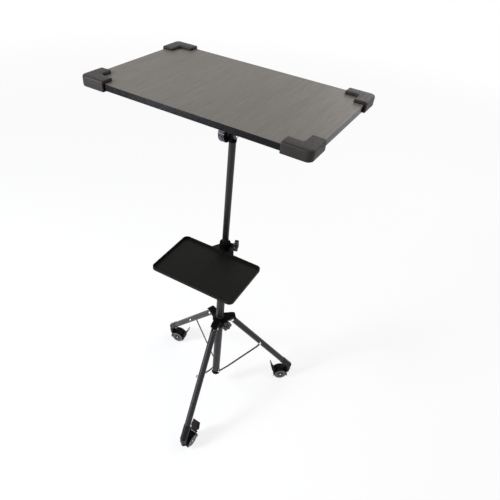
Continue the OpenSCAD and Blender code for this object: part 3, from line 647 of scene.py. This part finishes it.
# The rows below are in mm. "Below" is from the wheel's outer face.
TYRE_LIP = ((0.9, 0.05), (0.2, 0.5), (0.0, 1.4), (-1.0, 1.5))  # outward from TYRE_IN, below
CAP_BACK = ((0.5, 0.3), (0.1, 1.0))                            # inward from TYRE_IN, above the back
CAP_LIP = ((0.1, 1.7), (0.6, 1.2))                             # inward from TYRE_IN, below
CAP_FACE = ((17.6, 1.0), (16.4, 1.5), (14.6, 1.6), (11.0, 1.2), (9.2, 0.9),
            (8.2, 0.2), (7.2, 0.0), (5.0, 0.1), (4.2, 0.7), (0.0, 0.8))  # radius, below
AXLE_CAP_R = 3.2 * MM
AXLE_END = ((0.0, 2.0), (1.0, 2.0), (1.0, 0.6), (0.86, 0.25), (0.5, 0.02), (0.0, 0.0))  # share, below


def tyre_profile():
    edge = [(WHEEL_R - TYRE_ROUND * (1 - math.sin(a)), TYRE_ROUND * (1 - math.cos(a)))
            for a in TYRE_ANGLES]
    return ([(TYRE_IN - TYRE_BACK_IN, TYRE_BACK_STEP), (TYRE_IN, 0)] + edge
            + [(r, WHEEL_W - h) for r, h in reversed(edge)]
            + [(TYRE_IN + out * MM, WHEEL_W - below * MM) for out, below in TYRE_LIP])


def cap_profile():
    return ([(0, CAP_BACK[0][1] * MM)]
            + [(TYRE_IN - inward * MM, above * MM) for inward, above in CAP_BACK]
            + [(TYRE_IN - inward * MM, WHEEL_W - below * MM) for inward, below in CAP_LIP]
            + [(r * MM, WHEEL_W - below * MM) for r, below in CAP_FACE])


def axle_end_profile():
    return [(AXLE_CAP_R * share, WHEEL_W - below * MM) for share, below in AXLE_END]


def add_wheel(side, which):
    """A wheel in two parts, a pale tyre and a glossy cap, with the axle's end in the middle."""
    node = f"wheel_{which}_{side}"
    m = caster_frame(side)
    mid = middle(node)
    axis = (mid - m.translation).normalized()
    turn = frame_of(mid - axis * WHEEL_W / 2, m.col[0].xyz, axis)
    verts, faces = turned(tyre_profile(), turn, FINE_TURN)
    tyre = piece(node + "_tyre", verts, faces, node, MAT["tyre"])
    verts, faces = turned(cap_profile(), turn, FINE_TURN)
    cap = piece(node + "_cap", verts, faces, node, MAT["wheel"])
    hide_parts(node)
    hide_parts(node)
    verts, faces = turned(axle_end_profile(), turn)
    piece(node + "_axle_end", verts, faces, node, MAT["rivet"])


# ---------------------------------------------------------------- braces
BRACE_W = 8.0 * MM
BRACE_T = 2.0 * MM
BRACE_BEVEL = 0.5 * MM
BRACE_EYE_R = 5.0 * MM
BRACE_EYE_BEVEL = 0.4 * MM
BRACE_SAG = 4.0 * MM
# Shares of the strip's length: where its rings are, where it has sagged, and its joggle.
BRACE_STEPS = (0, 0.02, 0.06, 0.12, 0.2, 0.3, 0.4, 0.5, 0.6, 0.7, 0.78, 0.85, 0.89,
               0.915, 0.94, 0.965, 0.985, 1.0)
BRACE_SAG_BY = 0.2
JOGGLE_FROM = 0.915
JOGGLE_TO = 0.985
JOGGLE_L = 0.07
RIVET_DOME = ((0.0, -0.2), (4.2, -0.2), (4.2, 0.15), (3.7, 0.9), (2.6, 1.45),
              (1.3, 1.72), (0.0, 1.78))  # radius, height, in mm


def brace_places(node, m):
    """The strip's two faces along local y, and its lower and upper pivot."""
    inv = m.inverted()
    pts = [inv @ v.co for v in NODES[node].data.vertices]
    near = max(p.y for p in pts)
    foot = Vector((min(p.x for p in pts) + BRACE_EYE_R, 0, min(p.z for p in pts) + BRACE_EYE_R))
    top = Vector((max(p.x for p in pts) - BRACE_EYE_R, 0, max(p.z for p in pts) - BRACE_EYE_R))
    return near, near - BRACE_T, foot, top


def brace_path(foot, top):
    """Points along the strip's middle, which sags below the line between its pivots."""
    along = top - foot
    length = along.length
    along.normalize()
    up = Vector((-along.z, 0, along.x))
    path = []
    for t in BRACE_STEPS:
        if t < JOGGLE_FROM:
            sag = BRACE_SAG * min(1, t / BRACE_SAG_BY)
        else:
            sag = BRACE_SAG * max(0, (JOGGLE_TO - t) / JOGGLE_L)
        path.append(foot + along * (length * t) - up * sag)
    return path


def strip_rings(m, path, near, far):
    half, c = BRACE_W / 2, BRACE_BEVEL
    section = ((-half + c, near), (half - c, near), (half, near - c), (half, far + c),
               (half - c, far), (-half + c, far), (-half, far + c), (-half, near - c))
    rings = []
    for i, p in enumerate(path):
        d = (path[min(i + 1, len(path) - 1)] - path[max(i - 1, 0)]).normalized()
        n = Vector((-d.z, 0, d.x))
        places = [(p + n * h, y) for h, y in section]
        rings.append([m @ Vector((q.x, y, q.z)) for q, y in places])
    return rings


def across_leg(m, place, y):
    """A frame on the strip's pivot whose z goes through the strip, away from its near face."""
    return frame_of(m @ Vector((place.x, y, place.z)), m.col[0].xyz, -m.col[1].xyz)


def brace_eye(m, place, near):
    r, t, c = BRACE_EYE_R, BRACE_T, BRACE_EYE_BEVEL
    return turned([(0, 0), (r - c, 0), (r, c), (r, t - c), (r - c, t), (0, t)],
                  across_leg(m, place, near))


def add_brace(side):
    """A flat strip with an eye at each end and a joggle near its upper end."""
    node = f"brace_{side}"
    m = leg_frame(side)
    near, far, foot, top = brace_places(node, m)
    strip = rings_to_mesh(strip_rings(m, brace_path(foot, top), near, far))
    verts, faces = join_lists([strip, brace_eye(m, foot, near), brace_eye(m, top, near)])
    obj = piece(node + "_strip", verts, faces, node, MAT["brace"], SHARP_STRIP)
    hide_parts(node)
    dome = [(r * MM, h * MM) for r, h in RIVET_DOME]
    verts, faces = turned(dome, across_leg(m, top, far))
    piece(node + "_rivet", verts, faces, node, MAT["rivet"])


def add_base():
    for side in SIDES:
        add_brace(side)
        for which in ("a", "b"):
            add_wheel(side, which)


# ---------------------------------------------------------------- camera, light and floor
CAMERA_FROM_MAST = Vector((559.27, -974.48, 1631.27)) * MM
CAMERA_ROLL, CAMERA_PITCH, CAMERA_YAW = 0.09607, 0.68851, -0.48506
CAMERA_SENSOR, CAMERA_LENS = 36.0, 33.66
CAMERA_SHIFT = (0.02467, -0.00124)
CAMERA_CLIP = (0.05, 60.0)
COOL, WARM = (0.88, 0.91, 1.0), (1.0, 0.97, 0.93)
LAMPS = (  # name, place, target, size, power, colour
    ("key", (-1.55, -2.0, 2.3), (0, 0, 0.7), (0.5, 1.0), 80, COOL),
    ("low", (-1.7, -2.5, 0.8), (0, 0, 0.6), (0.6, 1.4), 34, COOL),
    ("top", (1.2, 0.6, 3.2), (0, 0, 0.9), (2.0, 2.0), 22, WARM),
    ("back", (0.6, 2.8, 2.0), (0, 0, 0.7), (2.4, 1.6), 22, WHITE),
)
WORLD_LIGHT = 0.42
FLOOR_HALF = 14.0
FLOOR_STEPS = 8
FLOOR_COLOR = (0.93, 0.93, 0.93)
FLOOR_ROUGH, FLOOR_SHINE = 0.9, 0.1
FLOOR_NEAR_SHARE = 0.74    # how much of its own white the floor shows near the stand
FLOOR_FADE_FROM = 1.0      # metres from the stand at which that share starts to rise
FLOOR_FADE_TO = 5.0        # and at which it is 1


def add_camera():
    """The photograph's camera, from the fit to the tray, mast, shelf and feet."""
    roll, pitch, yaw = CAMERA_ROLL, CAMERA_PITCH, CAMERA_YAW
    look = Vector((math.sin(yaw) * math.cos(pitch), math.cos(yaw) * math.cos(pitch), -math.sin(pitch)))
    right = Vector((math.cos(yaw), -math.sin(yaw), 0.0))
    up = right.cross(look)
    right, up = (math.cos(roll) * right + math.sin(roll) * up,
                 -math.sin(roll) * right + math.cos(roll) * up)
    data = bpy.data.cameras.new("camera")
    data.sensor_width = CAMERA_SENSOR
    data.lens = CAMERA_LENS
    data.shift_x, data.shift_y = CAMERA_SHIFT
    data.clip_start, data.clip_end = CAMERA_CLIP
    cam = bpy.data.objects.new("camera", data)
    bpy.context.scene.collection.objects.link(cam)
    m = Matrix((right, up, -look)).transposed().to_4x4()
    m.translation = MAST + CAMERA_FROM_MAST
    cam.matrix_world = m
    bpy.context.scene.camera = cam


def add_area(name, place, target, size, power, color):
    data = bpy.data.lights.new(name, "AREA")
    data.shape = "RECTANGLE"
    data.size, data.size_y = size
    data.energy = power
    data.color = color
    lamp = bpy.data.objects.new(name, data)
    bpy.context.scene.collection.objects.link(lamp)
    lamp.location = place
    lamp.visible_camera = False
    lamp.rotation_euler = (Vector(target) - Vector(place)).to_track_quat("-Z", "Y").to_euler()


def seen_factor(tree):
    """1 for rays from the camera, off shiny surfaces and through clear ones; 0 for the rest."""
    path = tree.nodes.new("ShaderNodeLightPath")
    first = tree.nodes.new("ShaderNodeMath")
    second = tree.nodes.new("ShaderNodeMath")
    first.operation = second.operation = "MAXIMUM"
    tree.links.new(path.outputs["Is Camera Ray"], first.inputs[0])
    tree.links.new(path.outputs["Is Glossy Ray"], first.inputs[1])
    tree.links.new(first.outputs[0], second.inputs[0])
    tree.links.new(path.outputs["Is Transmission Ray"], second.inputs[1])
    return second.outputs[0]


def mix_shaders(tree, factor, hidden, seen, out):
    mix = tree.nodes.new("ShaderNodeMixShader")
    tree.links.new(factor, mix.inputs[0])
    tree.links.new(hidden.outputs[0], mix.inputs[1])
    tree.links.new(seen.outputs[0], mix.inputs[2])
    tree.links.new(mix.outputs[0], out.inputs["Surface"])


def set_world():
    """A dim white world that the camera sees as full white."""
    world = bpy.data.worlds.new("studio")
    bpy.context.scene.world = world
    world.use_nodes = True
    tree = world.node_tree
    light = tree.nodes["Background"]
    light.inputs["Color"].default_value = (*WHITE, 1)
    light.inputs["Strength"].default_value = WORLD_LIGHT
    seen = tree.nodes.new("ShaderNodeBackground")
    seen.inputs["Color"].default_value = (*WHITE, 1)
    seen.inputs["Strength"].default_value = 1.0
    mix_shaders(tree, seen_factor(tree), light, seen, tree.nodes["World Output"])


def floor_share(tree):
    """How much of its own white the floor shows: less near the stand, to keep the shadow."""
    far = tree.nodes.new("ShaderNodeVectorMath")
    far.operation = "LENGTH"
    tree.links.new(tree.nodes.new("ShaderNodeTexCoord").outputs["Object"], far.inputs[0])
    fade = tree.nodes.new("ShaderNodeMapRange")
    for socket, value in (("From Min", FLOOR_FADE_FROM), ("From Max", FLOOR_FADE_TO),
                          ("To Min", FLOOR_NEAR_SHARE), ("To Max", 1.0)):
        fade.inputs[socket].default_value = value
    tree.links.new(far.outputs["Value"], fade.inputs["Value"])
    share = tree.nodes.new("ShaderNodeMath")
    share.operation = "MULTIPLY"
    tree.links.new(seen_factor(tree), share.inputs[0])
    tree.links.new(fade.outputs["Result"], share.inputs[1])
    return share.outputs[0]


def floor_paper():
    mat = bpy.data.materials.new("floor_paper")
    mat.use_nodes = True
    tree = mat.node_tree
    bsdf = tree.nodes["Principled BSDF"]
    bsdf.inputs["Base Color"].default_value = (*FLOOR_COLOR, 1)
    bsdf.inputs["Roughness"].default_value = FLOOR_ROUGH
    bsdf.inputs["Specular IOR Level"].default_value = FLOOR_SHINE
    glow = tree.nodes.new("ShaderNodeEmission")
    glow.inputs["Color"].default_value = (*WHITE, 1)
    mix_shaders(tree, floor_share(tree), bsdf, glow, tree.nodes["Material Output"])
    return mat


def add_floor():
    mesh = bpy.data.meshes.new("floor")
    side = FLOOR_STEPS + 1
    marks = [-FLOOR_HALF + 2 * FLOOR_HALF * i / FLOOR_STEPS for i in range(side)]
    verts = [(x, y, 0) for y in marks for x in marks]
    faces = [(j * side + i, j * side + i + 1, (j + 1) * side + i + 1, (j + 1) * side + i)
             for j in range(FLOOR_STEPS) for i in range(FLOOR_STEPS)]
    mesh.from_pydata(verts, [], faces)
    mesh.materials.append(floor_paper())
    floor = bpy.data.objects.new("floor", mesh)
    bpy.context.scene.collection.objects.link(floor)


add_camera()
set_world()
add_floor()
for lamp_row in LAMPS:
    add_area(*lamp_row)

add_mouldings()
add_base()
add_guards()
add_knobs()
